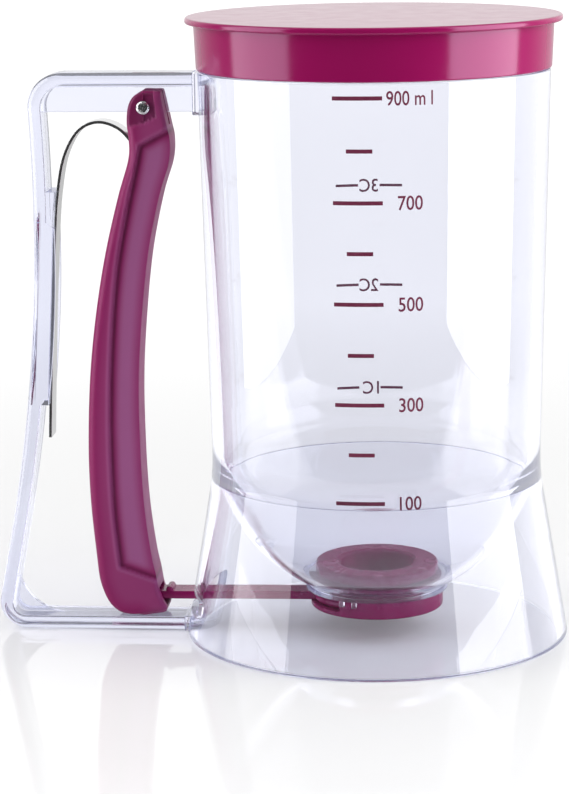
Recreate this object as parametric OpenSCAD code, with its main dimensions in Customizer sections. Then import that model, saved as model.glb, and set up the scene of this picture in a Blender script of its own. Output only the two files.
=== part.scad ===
// Batter dispenser: a clear jug with a round bowl, a squeeze lever in its handle
// and a slide valve underneath.
// Millimetres, +Z up. The origin is on the jug's axis, on the table. The handle points to -X.

/* [Jug] */
// Outside radius of the body just under the lid
body_top_r = 51.8; // [50:0.1:54]
// Outside radius at the waist, where the body meets the flared skirt
waist_r = 49.1; // [48.4:0.1:50.4]
// Height of the waist above the table
waist_z = 50; // [47:0.5:54]
// Radius of the hollow fillet round the waist
waist_fillet = 64; // [30:1:90]
// Height of the ledge that the lid's skirt comes down to
ledge_z = 169.9; // [160:0.1:190]
// Height of the rim collar above the ledge
collar_h = 13.5; // [9:0.5:18]
// Wall of the body at its top
wall = 3.1; // [2.8:0.1:3.3]
// Wall of the body at the waist
waist_wall = 3.2; // [2.6:0.1:3.4]
// Outside radius of the skirt's foot
foot_r = 57.6; // [56.5:0.1:60]
// Wall of the skirt at its foot, measured level
foot_wall = 3; // [2.2:0.1:4]
// Wall of the skirt at the waist, measured level
skirt_wall = 2.3; // [1.8:0.1:2.8]

/* [Bowl and outlet] */
// How far the bowl's outside lies inside the waist
bowl_inset = 1.8; // [1.4:0.1:2.4]
// Extra wall at the lowest point of the bowl
bowl_wall = 1.8; // [1.4:0.1:2.4]
// Height of the flat floor round the outlet
floor_z = 17.8; // [17:0.1:19]
// Thickness of that floor, with the boss under it
floor_t = 4.8; // [4:0.1:5]
// Width of the flat floor left round the seat ring
floor_edge = 4; // [2:0.1:6]
// Outside radius of the boss under the floor
boss_r = 21.5; // [21:0.1:24]
// Radius of the outlet through the valve
outlet_r = 11.4; // [9:0.1:12]

/* [Lid] */
// Overhang of the lid's disc past the body
lid_overhang = 3.4; // [2:0.1:6]
// Thickness of the disc
lid_t = 1.8; // [1.4:0.1:3]
// Wall of the lid's skirt at its open end
lid_wall = 1.7; // [1.2:0.1:2.2]
// How far the skirt flares outwards from its open end to the disc
lid_draft = 0.6; // [0:0.1:1.2]
// Clearance between the lid's skirt and the rim collar
lid_gap = 0.25; // [0.15:0.05:0.5]
// Clearance above the rim and above the ledge
lid_seat = 0.2; // [0.1:0.05:0.4]

/* [Handle frame] */
// Width of the frame, from front to back
frame_w = 12.2; // [10:0.2:14]
// Thickness of the frame's band
frame_t = 4.2; // [3.4:0.1:4.4]
// How far the frame's top face lies under the ledge
frame_drop = 0.7; // [0.5:0.1:2]
// Distance from the jug's axis to the grip's outer face, at the upper corner
grip_x = 102.2; // [102:0.1:106]
// Angle at which the grip leans in under the upper corner
grip_lean = 3.3; // [2:0.1:5]
// Radius of the grip's long curve
sweep_r = 516; // [480:4:580]
// Angle at which the grip runs outwards at its lower end
sweep_angle = 10.9; // [9:0.1:11.4]
// Outside radius of the upper corner
top_corner_r = 10.3; // [8:0.1:12]
// Outside radius of the lower corner
low_corner_r = 8; // [6:0.1:10]
// Rounding of the band's outer edges
band_edge_r = 2; // [0.8:0.1:2.6]
// Thickness of the webs inside the frame
web_t = 2; // [1.6:0.1:2.6]
// Depth of the upper web, from the frame's top face
web_h = 12; // [11:0.1:13]
// Radius of the fillet web in the lower corner
gusset_r = 15; // [12:0.5:17]

/* [Lever] */
// Distance from the jug's axis to the pivot
pivot_x = 67.4; // [67:0.1:68]
// How far the pivot lies under the frame's top face
pivot_drop = 10.1; // [9.8:0.1:10.4]
// Width of the lever, from front to back
lever_w = 15; // [14:0.2:17]
// Rounding along the lever's back
back_edge_r = 2.4; // [1:0.1:3.4]
// Rounding along the finger side
finger_edge_r = 1.4; // [0.6:0.1:3]
// Depth of the side panels
panel_depth = 0.9; // [0.4:0.1:1.2]
// Gap between each cheek and the web
cheek_gap = 0.3; // [0.2:0.05:0.8]

/* [Screw and spring] */
// Radius of the screw's shank
screw_r = 1.5; // [1.2:0.1:1.8]
// Radius of the screw's head
screw_head_r = 2; // [1.8:0.1:2.4]
// Running clearance of the shank in the web
pin_gap = 0.06; // [0.02:0.01:0.1]
// Width of the spring strip
spring_w = 8; // [6:0.2:8.6]
// Thickness of the spring strip
spring_t = 0.9; // [0.6:0.1:1]

/* [Slide valve] */
// Height of the underside of the rod and gate plate
rod_z = 9.4; // [9.3:0.05:9.7]
// Thickness of the rod and gate plate
rod_t = 2.4; // [2:0.1:2.5]
// Width of the rod
rod_w = 8; // [6.5:0.5:8]
// How far the closed gate reaches past the outlet's edge
gate_lap = 1.8; // [1:0.1:2.4]
// Radius of the gate plate
gate_r = 16.2; // [15:0.1:16.2]
// Running clearance of the gate above and below
gate_gap = 0.15; // [0.1:0.05:0.3]
// Outside radius of the valve housing
housing_r = 20; // [19.6:0.1:20.2]
// Wall of the housing
housing_wall = 2.5; // [2:0.1:2.8]
// Thickness of the housing's floor
housing_floor = 1.6; // [1.2:0.1:2]
// Radius of the seat ring's flange
seat_r = 18.7; // [17:0.1:19.5]
// Thickness of that flange
seat_t = 3.1; // [2:0.1:4]
// Wall of the seat ring's sleeve
seat_wall = 2.6; // [1.8:0.1:3.2]
// Room at each side of the gate plate in the skirt's slot
slot_side = 3.3; // [1:0.1:4]
// Room under the rod in that slot
slot_under = 2.2; // [1.4:0.1:3]
// Room over the rod in that slot
slot_over = 0.9; // [0.5:0.1:2]

/* [Hidden] */
$fn = 96;
cut = 1; // overshoot of every cutting solid
seat_fit = 0.05; // fitted pieces of the same body

clear = [0.86, 0.87, 0.93, 0.45];
plum = [0.50, 0.09, 0.31];
steel = [0.60, 0.61, 0.62];

// jug
body_slope = (body_top_r - waist_r) / (ledge_z - waist_z);
function body_r(z) = waist_r + body_slope * (z - waist_z);
body_lean = atan(body_slope);
skirt_lean = atan((foot_r - waist_r) / waist_z);
function skirt_in_r(z) = foot_r - foot_wall - (foot_r - foot_wall - waist_r + skirt_wall) * z / waist_z;
waist_steps = 8; // facets of the hollow fillet
fillet_mid = [waist_r, waist_z] + waist_fillet / cos((skirt_lean + body_lean) / 2)
    * [cos((skirt_lean - body_lean) / 2), sin((skirt_lean - body_lean) / 2)];

// the bowl is a ball that runs into the body's inside, cut flat by the floor round the outlet
floor_flat_r = seat_r + floor_edge;
ball_mid_z = floor_z + sqrt(pow(waist_r - waist_wall, 2) - pow(floor_flat_r, 2));
bowl_in_r = body_r(ball_mid_z) - waist_wall;
bowl_in_z = floor_z + sqrt(pow(bowl_in_r, 2) - pow(floor_flat_r, 2));
bowl_out_r = waist_r - bowl_inset;
bowl_z = bowl_in_z - bowl_in_r - bowl_wall + bowl_out_r;

lid_proud = 0.3; // how far the lid's skirt stands out past the body
lid_skirt_r = body_top_r + lid_proud;
lid_in_r = lid_skirt_r - lid_wall;
collar_r = lid_in_r - lid_gap;
rim_z = ledge_z + collar_h;
boss_z = floor_z - floor_t;
floor_hole_r = outlet_r + seat_wall + seat_fit;

// handle pads on the jug
frame_top = ledge_z - frame_drop;
pad_edge = 0.6; // how far the pads stand out past the frame
pad_x = body_r(frame_top) + 2 * pad_edge;
pad_h = web_h + pad_edge;
foot_pad_x = foot_r + pad_edge;
foot_pad_h = frame_t + pad_edge;
pad_w = frame_w + 2 * pad_edge;
pad_root = 4; // length of each pad, most of it in the jug's wall
pad_sink = 1.8; // how far the lower pad runs into the skirt

// slot in the skirt
slot_half = gate_r + slot_side;
slot_low = rod_z - slot_under;
slot_high = rod_z + rod_t + slot_over;
slot_corner_r = 1.8;
slot_reach = 0.3 * foot_r; // how far in from the foot's edge the slot is cut

// handle frame: turtle path along the outer edge, from the jug's upper pad round to its foot
top_corner_end = frame_top - top_corner_r * (1 + sin(grip_lean));
sweep_drop = sweep_r * (sin(grip_lean) + sin(sweep_angle));
sweep_out = sweep_r * (cos(grip_lean) - cos(sweep_angle)) - top_corner_r * (1 - cos(grip_lean));
low_start_z = low_corner_r * (1 + sin(sweep_angle));
slant_run = (top_corner_end - sweep_drop - low_start_z) / cos(sweep_angle);
low_corner_x = grip_x + sweep_out + slant_run * sin(sweep_angle) - low_corner_r * cos(sweep_angle);
corner_facets = 11; // on each outer corner of the band
sweep_facets = 13; // on the grip's long curve
// each step of the path is [straight length, turn, outer radius, facets]; a left turn is positive
FRAME_PATH = [
    [grip_x - top_corner_r - pad_x, 0, 0, 1],
    [0, 90 + grip_lean, top_corner_r, corner_facets],
    [0, -grip_lean - sweep_angle, sweep_r, sweep_facets],
    [slant_run, 0, 0, 1],
    [0, 90 + sweep_angle, low_corner_r, corner_facets],
    [low_corner_x - foot_pad_x, 0, 0, 1]
];
web_bottom = frame_top - web_h;
ear_r = 4.4;
ear_gap = 1.2; // room under the ear in the lever's slot
web_sink = 0.6; // how far the webs run into the band
gusset_in = 1; // how far the corner of the fillet web lies in from the band's corner
edge_steps = 4; // facets on each rounded edge of the band

// side view of lever and spring: drawn in mm from the pivot, then stretched to the real reach and drop
pivot_z = frame_top - pivot_drop;
reach = (grip_x - pivot_x) / 34.8;
drop = (pivot_z - rod_z) / 149.7;
function placed(p) = [-pivot_x + p[0] * reach, pivot_z + p[1] * drop];

// spring: points along the middle of the strip, from its end in the lever to its free end in the grip
SPRING_POINTS = [for (p = [
    [-0.2, -16.5], [-2.2, -13.4], [-4.5, -9.9], [-8, -6.4], [-13, -4.6], [-17.6, -5.5], [-21.3, -8.7],
    [-24.6, -15.5], [-26.5, -25.1], [-27.6, -36.1], [-28.5, -53.1], [-29.5, -71.1], [-30.3, -87.1],
    [-30.8, -99.7]
]) placed(p)];
spring_steps = 4;
spring_root = 3; // index of the last spring point inside the lever
channel_gap = 0.15;
channel_top = 8; // index of the spring point where the grip's channel starts
channel_foot = 12; // index of the spring point where it ends
channel_side = 0.5; // room at each side of the strip in the channel
channel_w = spring_w + 2 * channel_side;
rib_h = 1.7;
rib_start = 4; // how far above the channel's second point the ribs start

// lever: pairs of points on the back and on the finger side, from top to bottom
LEVER_RAILS = [
    [-0.8, 4.3, 5, 4.1], [-3.1, 3.1, 5.3, 2.4], [-4.7, 0.1, 5.8, -0.1], [-5.2, -4.6, 6.8, -5.1],
    [-4.7, -9.6, 7.7, -10.1], [-5, -15.6, 7.2, -16.6], [-8.3, -26.6, 4.1, -26.6], [-12.5, -43.6, 0.5, -43.6],
    [-15.8, -62.1, -1.8, -63.1], [-18, -81.1, -3.1, -82.1], [-19, -102.1, -3.1, -102.1],
    [-18.7, -119.1, -2.3, -120.1], [-17.3, -136.1, -0.5, -135.1], [-16.4, -143.8, 0.8, -141.7],
    [-14.2, -149.8, 1.6, -146.5], [-11.4, -152.9, 2.7, -149.5], [-8.4, -154, 3.8, -151.6],
    [-5, -154.1, 3.7, -152.8]
];
rail_steps = 2;
ring_points = 5; // points on each rounded corner of the lever's section
end_taper = 1.1; // how much narrower the lever is at its two ends
end_rings = 4; // number of rings over which it narrows
web_slot = web_t + 2 * cheek_gap;
slot_bottom = pivot_z - ear_r - ear_gap;
PANEL_BACK = [
    [-1.3, -11.2], [-2.9, -18.8], [-6.1, -33], [-8.8, -47.4], [-10.6, -64.1], [-11.8, -83.1],
    [-12.2, -101.1], [-11.7, -121.1], [-10, -139.1]
];
panel_top = [17.4, -1.2];
panel_bottom = [17.4, -148.7];
recess_depth = 0.6;
screw_fit = 0.02; // clearance of the shank in the lever
SCREW_RECESS = [[-8, -6.1], [-4, -5.5], [0.2, -4.4], [3.8, -2.6], [3, 5], [3, 8], [-8, 8]];
clevis_back = 8 * reach;
clevis_front = 10 * reach;
clevis_h = 20 * drop;

// hook between rod and lever
hook_wall_x = pivot_x - 2.2 * reach; // finger side of the lever where the rod leaves it
hook_wall = 1.9;
hook_gap = 0.5;
hook_side = 0.4; // room at each side of the rod and its head
hook_run = 5; // how far the rod's slot is cut past the lever's finger side
head_back = 0.7; // room behind the head
head_over = 1.4; // room over the head
head_t = 2.2;
head_side = 1.9; // lever wall on each side of the head
head_w = lever_w - 2 * head_side;
head_h = 4.4;
pocket_l = hook_gap + head_t + head_back;
collar_gap = 1.1;
collar_t = 2.3;
collar_top = 1.2; // height of the rod's collar above the rod
swing_room = 2; // how far the lever's lower end rises against the rod

// valve
gate_x = outlet_r + gate_lap - gate_r; // middle of the gate plate
chamber_r = housing_r - housing_wall;
housing_z = rod_z - gate_gap;
door_side = 1; // room at each side of the gate in the housing's open side
gate_door = gate_r + door_side;
ring_edge = 1; // rounding of the seat ring
door_end = 180 + asin(gate_door / housing_r); // where the open side ends, round the axis
LUG_ANGLES = [door_end + 3.7, door_end + 14.7];
lug_w = 1.5;
lug_h = 1.7;
lug_gap = 0.15;
lug_root = 0.6; // how far the lugs run up into the boss
lug_inset = 0.2; // how far lugs and tabs end inside the boss's edge
tab_root = 1; // how far the tabs run into the housing's wall
tab_drop = 0.6; // how far the tabs reach down past the lugs
tab_gap = 0.1; // clearance between the tabs and the boss
drip_edge = 0.6; // how much wider the housing's hole is than the outlet

// ---- shared geometry ----

// Catmull-Rom curve through points, with the given number of steps between each pair
function curve_point(p, i, t) =
    let (a = p[max(i - 1, 0)], b = p[i], c = p[i + 1], d = p[min(i + 2, len(p) - 1)])
    0.5 * (2 * b + (c - a) * t + (2 * a - 5 * b + 4 * c - d) * t * t + (3 * b - a - 3 * c + d) * t * t * t);
function curve(p, steps) =
    concat([for (i = [0:len(p) - 2]) for (k = [0:steps - 1]) curve_point(p, i, k / steps)], [p[len(p) - 1]]);
function unit(v) = v / norm(v);
// Points moved sideways by d, to the left of the direction of travel
function beside(p, d) = [
    for (i = [0:len(p) - 1])
        let (v = unit(p[min(i + 1, len(p) - 1)] - p[max(i - 1, 0)]))
        p[i] + d * [-v[1], v[0]]
];
function reversed(p) = [for (i = [len(p) - 1:-1:0]) p[i]];

// Skin through rings of as many points each, closed at both ends
module loft(rings) {
    n = len(rings[0]);
    m = len(rings);
    polyhedron(
        [for (r = rings) for (p = r) p],
        concat(
            [[for (k = [0:n - 1]) k]],
            [for (j = [0:m - 2]) for (k = [0:n - 1])
                [j * n + k, (j + 1) * n + k, (j + 1) * n + (k + 1) % n, j * n + (k + 1) % n]],
            [[for (k = [n - 1:-1:0]) (m - 1) * n + k]]
        ),
        convexity = 6
    );
}

// Stands a drawing of the side view (X, Z) up and gives it a width along Y
module side_plate(width) {
    rotate([90, 0, 0]) linear_extrude(width, center = true) children();
}

// Frame pose after each step of the path: [x, z, heading]
function left_of(a) = [-sin(a), cos(a)];
function turned(v, a) = [v[0] * cos(a) - v[1] * sin(a), v[0] * sin(a) + v[1] * cos(a)];
function after(pose, s) =
    let (p = [pose[0], pose[1]], side = sign(s[1]) * s[2] * left_of(pose[2]))
    s[1] == 0
        ? [p[0] + s[0] * cos(pose[2]), p[1] + s[0] * sin(pose[2]), pose[2]]
        : let (q = p + side - turned(side, s[1])) [q[0], q[1], pose[2] + s[1]];
function frame_pose(i) = i == 0 ? [-pad_x, frame_top, 180] : after(frame_pose(i - 1), FRAME_PATH[i - 1]);

// ---- jug ----

// Points of the hollow fillet, from the skirt up to the body
function waist_arc() = [for (i = [0:waist_steps])
    let (a = skirt_lean - (skirt_lean + body_lean) * i / waist_steps)
    fillet_mid - waist_fillet * [cos(a), sin(a)]];

module jug_outline() {
    polygon(concat([[0, 0], [foot_r, 0]], waist_arc(), [
        [body_top_r, ledge_z], [collar_r, ledge_z], [collar_r, rim_z], [0, rim_z]
    ]));
}

module jug_inside() {
    mouth_r = body_top_r - wall;
    polygon([
        [0, bowl_in_z], [bowl_in_r, bowl_in_z], [mouth_r, ledge_z], [mouth_r, rim_z + cut], [0, rim_z + cut]
    ]);
    intersection() {
        translate([0, bowl_in_z]) circle(bowl_in_r);
        translate([0, floor_z]) square([body_top_r, bowl_in_z - floor_z]);
    }
}

module jug_under() {
    // the space under the bowl, inside the skirt
    difference() {
        polygon([[0, -cut], [skirt_in_r(-cut), -cut], [skirt_in_r(bowl_z), bowl_z], [0, bowl_z]]);
        intersection() {
            translate([0, bowl_z]) circle(bowl_out_r);
            translate([0, boss_z]) square([body_top_r, bowl_z]);
        }
        translate([0, boss_z]) square([boss_r, floor_t]);
    }
}

module jug_pads() {
    difference() {
        union() {
            translate([-pad_x, -pad_w / 2, frame_top - pad_h]) cube([pad_root, pad_w, pad_h]);
            translate([-foot_pad_x, -pad_w / 2, 0]) cube([pad_root, pad_w, foot_pad_h]);
        }
        rotate_extrude() {
            translate([0, waist_z]) square([body_r(frame_top - pad_h) - pad_sink / 2, ledge_z]);
            translate([0, -cut]) square([foot_r - pad_sink, cut + foot_pad_h + cut]);
        }
    }
}

// Long slot on the handle's side of the skirt, wide enough for the gate plate to go in
module skirt_slot() {
    r = slot_corner_r;
    corners = [
        [slot_half - r, slot_high - r, 0], [r - slot_half, slot_high - r, 90],
        [r - slot_half, slot_low + r, 180], [slot_half - r, slot_low + r, 270]
    ];
    outline = [for (c = corners) for (a = [c[2]:15:c[2] + 90]) [c[0] + r * cos(a), c[1] + r * sin(a)]];
    translate([-foot_r - cut, 0, 0]) rotate([90, 0, 90]) linear_extrude(slot_reach + cut) polygon(outline);
}

module lugs() {
    for (side = [0, 180]) for (a = LUG_ANGLES)
        rotate([0, 0, a + side]) translate([housing_r + lug_gap, -lug_w / 2, boss_z - lug_h])
            cube([boss_r - housing_r - lug_gap - lug_inset, lug_w, lug_h + lug_root]);
}

module jug() {
    color(clear) {
        difference() {
            union() {
                rotate_extrude() difference() {
                    jug_outline();
                    jug_inside();
                    jug_under();
                    translate([0, boss_z - cut]) square([floor_hole_r, floor_t + 2 * cut]);
                }
                jug_pads();
            }
            skirt_slot();
        }
        lugs();
    }
}

// ---- handle frame ----

// Section of the band as [across the width, inwards from the outer face]
function band_section() =
    let (half = frame_w / 2, r = band_edge_r, n = edge_steps)
    concat(
        [[half, frame_t], [-half, frame_t]],
        [for (k = [0:n]) let (a = 90 * k / n) [-half + r - r * cos(a), r - r * sin(a)]],
        [for (k = [0:n]) let (a = 90 * k / n) [half - r + r * sin(a), r - r * cos(a)]]
    );

function frame_stations() = concat(
    [for (i = [0:len(FRAME_PATH) - 1])
        let (s = FRAME_PATH[i])
        for (k = [0:s[3] - 1]) after(frame_pose(i), [s[0] * k / s[3], s[1] * k / s[3], s[2]])],
    [frame_pose(len(FRAME_PATH))]
);

module band() {
    loft([for (pose = frame_stations())
        [for (q = band_section())
            let (p = [pose[0], pose[1]] + q[1] * left_of(pose[2]))
            [p[0], q[0], p[1]]]]);
}

module webs() {
    side_plate(web_t) {
        web_left = -grip_x + frame_t - web_sink;
        translate([web_left, web_bottom]) square([-pad_x - web_left, web_h - frame_t + web_sink]);
        translate([-pivot_x, pivot_z]) circle(ear_r);
        // fillet web in the lower corner
        corner = [-low_corner_x - low_corner_r + frame_t + gusset_in, frame_t];
        overlap = 2 * gusset_in;
        difference() {
            translate(corner - [overlap, web_sink]) square([gusset_r + overlap, gusset_r + web_sink]);
            translate(corner + [gusset_r, gusset_r]) circle(gusset_r);
        }
    }
}

function channel_line() = beside(
    [for (i = [channel_top:channel_foot]) SPRING_POINTS[i]], -(spring_t / 2 + channel_gap));

module channel() {
    // the seat that the spring lies on, and a rib along each side of it
    back = -grip_x + frame_t / 2;
    foot_back = -grip_x - frame_t / 3;
    seat_line = channel_line();
    // the ribs rise and fall again as half a sine wave, between points of the seat line
    rib_line = [for (i = [1:len(seat_line) - 1])
        seat_line[i] + [rib_h * sin(180 * (i - 0.35) / (len(seat_line) - 1.2)), 0]];
    foot = [foot_back, seat_line[len(seat_line) - 1][1]];
    side_plate(frame_w) polygon(concat([[back, seat_line[0][1]]], seat_line, [foot]));
    for (side = [-1, 1]) translate([0, side * (frame_w + channel_w) / 4, 0])
        side_plate((frame_w - channel_w) / 2)
            polygon(concat([[back, seat_line[1][1] - rib_start]], rib_line, [foot]));
}

module handle_frame() {
    color(clear) difference() {
        union() {
            band();
            webs();
            channel();
        }
        translate([-pivot_x, 0, pivot_z]) rotate([90, 0, 0])
            cylinder(r = screw_r + pin_gap, h = web_t + 2 * cut, center = true);
    }
}

// ---- lid ----

module lid() {
    skirt_z = ledge_z + lid_seat;
    disc_z = rim_z + lid_seat;
    disc_r = body_top_r + lid_overhang;
    edge = 0.7; // bevel of the disc's upper edge
    sunk_z = disc_z + lid_t / 2;
    color(plum) rotate_extrude() difference() {
        union() {
            polygon([[0, skirt_z], [lid_skirt_r, skirt_z], [lid_skirt_r + lid_draft, sunk_z], [0, sunk_z]]);
            polygon([
                [0, disc_z], [disc_r, disc_z], [disc_r, disc_z + lid_t - edge],
                [disc_r - edge, disc_z + lid_t], [0, disc_z + lid_t]
            ]);
        }
        translate([0, skirt_z - cut]) square([lid_in_r, disc_z - skirt_z + cut]);
    }
}

// ---- lever ----

// One ring of the lever's skin, between a back point and a finger point
function lever_ring(back, finger, half_w) =
    let (
        span = norm(finger - back), along = unit(finger - back),
        rb = min(back_edge_r, span / 3), rf = min(finger_edge_r, span / 3),
        corners = [[rb, -1, rb, 180], [span - rf, -1, rf, 270], [span - rf, 1, rf, 0], [rb, 1, rb, 90]]
    )
    [for (c = corners) for (k = [0:ring_points - 1])
        let (
            a = c[3] + 90 * k / (ring_points - 1),
            s = c[0] + c[2] * cos(a), y = c[1] * (half_w - c[2]) + c[2] * sin(a),
            p = back + s * along
        )
        [p[0], y, p[1]]];

module lever_skin() {
    rails = curve(LEVER_RAILS, rail_steps);
    last = len(rails) - 1;
    loft([for (i = [0:last])
        let (
            r = rails[i], edge = min(i, last - i) / end_rings,
            half_w = lever_w / 2 - end_taper * pow(max(0, 1 - edge), 2)
        )
        lever_ring(placed([r[0], r[1]]), placed([r[2], r[3]]), half_w)]);
}

module lever_panels() {
    outline = [for (p = concat(curve(PANEL_BACK, 2), [panel_bottom], [panel_top])) placed(p)];
    for (side = [-1, 1]) translate([0, side * (lever_w / 2 + cut - panel_depth / 2), 0])
        side_plate(panel_depth + 2 * cut) polygon(outline);
}

module screw_recess() {
    // sunk flat round the screw, open towards the lever's back and top
    for (side = [-1, 1]) translate([0, side * (lever_w / 2 + cut / 2 - recess_depth / 2), 0])
        side_plate(recess_depth + cut) polygon([for (p = SCREW_RECESS) placed(p)]);
}

module lever() {
    color(plum) difference() {
        lever_skin();
        lever_panels();
        screw_recess();
        // clevis slot for the web
        translate([-pivot_x - clevis_back, -web_slot / 2, slot_bottom])
            cube([clevis_back + clevis_front, web_slot, clevis_h]);
        translate([-pivot_x, 0, pivot_z]) rotate([90, 0, 0])
            cylinder(r = screw_r + screw_fit, h = lever_w + 2 * cut, center = true);
        // slot that holds the end of the spring
        side_plate(spring_w + 2 * channel_gap)
            spring_outline(channel_gap, [for (i = [0:spring_root]) SPRING_POINTS[i]]);
        // slot for the rod and pocket for its head
        translate([-hook_wall_x - hook_wall - cut, -rod_w / 2 - hook_side, rod_z - swing_room])
            cube([hook_wall + cut + hook_run, rod_w + 2 * hook_side, rod_t + swing_room + collar_top]);
        translate([-hook_wall_x - hook_wall - pocket_l, -head_w / 2 - hook_side, rod_z - swing_room])
            cube([pocket_l, head_w + 2 * hook_side, head_h + swing_room + head_over]);
    }
}

// ---- screw ----

module pivot_screw() {
    head_y = lever_w / 2 - recess_depth;
    crown_h = 1.5;
    crown_edge = 0.5; // height of the bevel round the head
    cross_r = 1.3;
    cross_w = 0.6;
    cross_t = 1; // depth of the cross
    color(steel) translate([-pivot_x, 0, pivot_z]) rotate([90, 0, 0]) difference() {
        union() {
            translate([0, 0, -head_y + 1]) cylinder(r = screw_r, h = 2 * head_y - 1);
            translate([0, 0, head_y]) cylinder(r = screw_head_r, h = crown_h - crown_edge);
            translate([0, 0, head_y + crown_h - crown_edge])
                cylinder(r1 = screw_head_r, r2 = screw_head_r - crown_edge, h = crown_edge);
        }
        for (a = [0, 90]) rotate([0, 0, a]) translate([-cross_r, -cross_w / 2, head_y + crown_h - cross_t])
            cube([2 * cross_r, cross_w, cross_t + cut]);
    }
}

// ---- spring ----

module spring_outline(grow, points) {
    line = curve(points, spring_steps);
    half = spring_t / 2 + grow;
    polygon(concat(beside(line, half), reversed(beside(line, -half))));
}

module return_spring() {
    color(steel) side_plate(spring_w) spring_outline(0, SPRING_POINTS);
}

// ---- slide valve ----

module valve_slider() {
    head_x = -hook_wall_x - hook_wall - hook_gap - head_t;
    collar_x = -hook_wall_x + collar_gap;
    color(plum) {
        translate([gate_x, 0, rod_z]) cylinder(r = gate_r, h = rod_t);
        translate([head_x + head_t / 2, -rod_w / 2, rod_z])
            cube([gate_x - gate_r / 2 - head_x - head_t / 2, rod_w, rod_t]);
        translate([head_x, -head_w / 2, rod_z]) cube([head_t, head_w, head_h]);
        // collar outside the lever, with a round top
        translate([collar_x, -rod_w / 2, rod_z]) cube([collar_t, rod_w, rod_t + collar_top - collar_t / 2]);
        translate([collar_x + collar_t / 2, 0, rod_z + rod_t + collar_top - collar_t / 2]) rotate([90, 0, 0])
            cylinder(r = collar_t / 2, h = rod_w, center = true);
    }
}

module valve_housing() {
    under_z = housing_z - housing_floor;
    color(plum) {
        difference() {
            translate([0, 0, under_z]) cylinder(r = housing_r, h = boss_z - under_z);
            translate([0, 0, housing_z]) cylinder(r = chamber_r, h = boss_z);
            translate([-housing_r - cut, -gate_door, housing_z])
                cube([housing_r + cut, 2 * gate_door, boss_z]);
            translate([0, 0, under_z - cut]) cylinder(r = outlet_r + drip_edge, h = housing_floor + 2 * cut);
        }
        // a tab between each pair of lugs
        for (side = [0, 180]) rotate([0, 0, (LUG_ANGLES[0] + LUG_ANGLES[1]) / 2 + side])
            translate([housing_r - tab_root, -lug_w / 2, boss_z - lug_h - tab_drop])
                cube([tab_root + boss_r - housing_r - lug_inset, lug_w, lug_h + tab_drop - tab_gap]);
    }
}

module valve_seat() {
    sleeve_z = rod_z + rod_t + gate_gap;
    ring_top = floor_z + seat_t;
    color(plum) rotate_extrude() difference() {
        union() {
            translate([0, floor_z]) square([seat_r, seat_t - ring_edge]);
            translate([0, floor_z]) square([seat_r - ring_edge, seat_t]);
            translate([seat_r - ring_edge, ring_top - ring_edge]) circle(ring_edge);
            translate([0, sleeve_z]) square([outlet_r + seat_wall, floor_z - sleeve_z]);
        }
        translate([-cut, sleeve_z - cut]) square([outlet_r + cut, ring_top]);
        // rounded edge of the hole
        difference() {
            translate([0, ring_top - ring_edge]) square([outlet_r + ring_edge, ring_edge + cut]);
            translate([outlet_r + ring_edge, ring_top - ring_edge]) circle(ring_edge);
        }
    }
}

jug();
handle_frame();
lid();
lever();
pivot_screw();
return_spring();
valve_slider();
valve_housing();
valve_seat();
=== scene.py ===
import math

import bmesh
import bpy
import numpy as np
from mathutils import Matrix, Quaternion, Vector


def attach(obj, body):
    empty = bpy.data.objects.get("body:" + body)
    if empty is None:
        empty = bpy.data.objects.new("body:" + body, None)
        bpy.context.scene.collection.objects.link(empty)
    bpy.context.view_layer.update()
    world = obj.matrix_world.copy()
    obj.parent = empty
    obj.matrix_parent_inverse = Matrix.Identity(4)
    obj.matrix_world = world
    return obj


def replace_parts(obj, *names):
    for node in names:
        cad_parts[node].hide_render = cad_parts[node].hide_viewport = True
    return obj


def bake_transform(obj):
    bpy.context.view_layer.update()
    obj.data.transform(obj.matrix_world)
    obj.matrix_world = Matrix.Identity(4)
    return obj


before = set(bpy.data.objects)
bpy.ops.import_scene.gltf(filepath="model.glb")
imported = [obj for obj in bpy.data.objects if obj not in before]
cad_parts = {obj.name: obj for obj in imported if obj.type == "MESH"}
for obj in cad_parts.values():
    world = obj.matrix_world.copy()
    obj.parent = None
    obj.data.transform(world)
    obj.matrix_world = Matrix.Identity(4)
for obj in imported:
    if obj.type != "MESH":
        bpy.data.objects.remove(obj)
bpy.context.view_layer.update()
print("frame loaded:", len(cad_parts), "nodes")

# the pieces' lengths are in millimetres, and become metres where a mesh is made
mm = 0.001
straightOn = 1.565  # half a corner's angle in radians, from which the corner counts as straight
mergeDist, collapseDist = 1e-6, 1e-7  # in metres: closer points are merged, shorter edges are dropped


# outlines and curves, as arrays of points

def roundCorners(corners, closed=True, steps=6):
    # Each corner (a, b, radius) becomes an arc that touches both of its sides; radius 0 keeps it sharp.
    path = []
    count = len(corners)
    for i, (a, b, radius) in enumerate(corners):
        here = np.array([a, b], float)
        if radius == 0 or (not closed and i in (0, count - 1)):
            path.append(here[None])
            continue
        back = np.array(corners[i - 1][:2]) - here
        ahead = np.array(corners[(i + 1) % count][:2]) - here
        back, ahead = back / np.linalg.norm(back), ahead / np.linalg.norm(ahead)
        half = math.acos(np.clip(back @ ahead, -1, 1)) / 2
        if half > straightOn:
            path.append(here[None])
            continue
        middle = (back + ahead) / np.linalg.norm(back + ahead)
        centre = here + middle * radius / math.sin(half)
        tangent = math.tan(half)
        first = here + back * radius / tangent - centre
        last = here + ahead * radius / tangent - centre
        t = np.linspace(0, 1, steps + 1)[:, None]
        turn = math.pi - 2 * half
        path.append(centre + (np.sin((1 - t) * turn) * first + np.sin(t * turn) * last) / math.sin(turn))
    return np.concatenate(path)


def arcPoints(centre, radius, start, end, count):
    # points on a circle between two angles in degrees
    a = np.radians(np.linspace(start, end, count))
    return np.stack([centre[0] + radius * np.cos(a), centre[1] + radius * np.sin(a)], -1)


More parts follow.
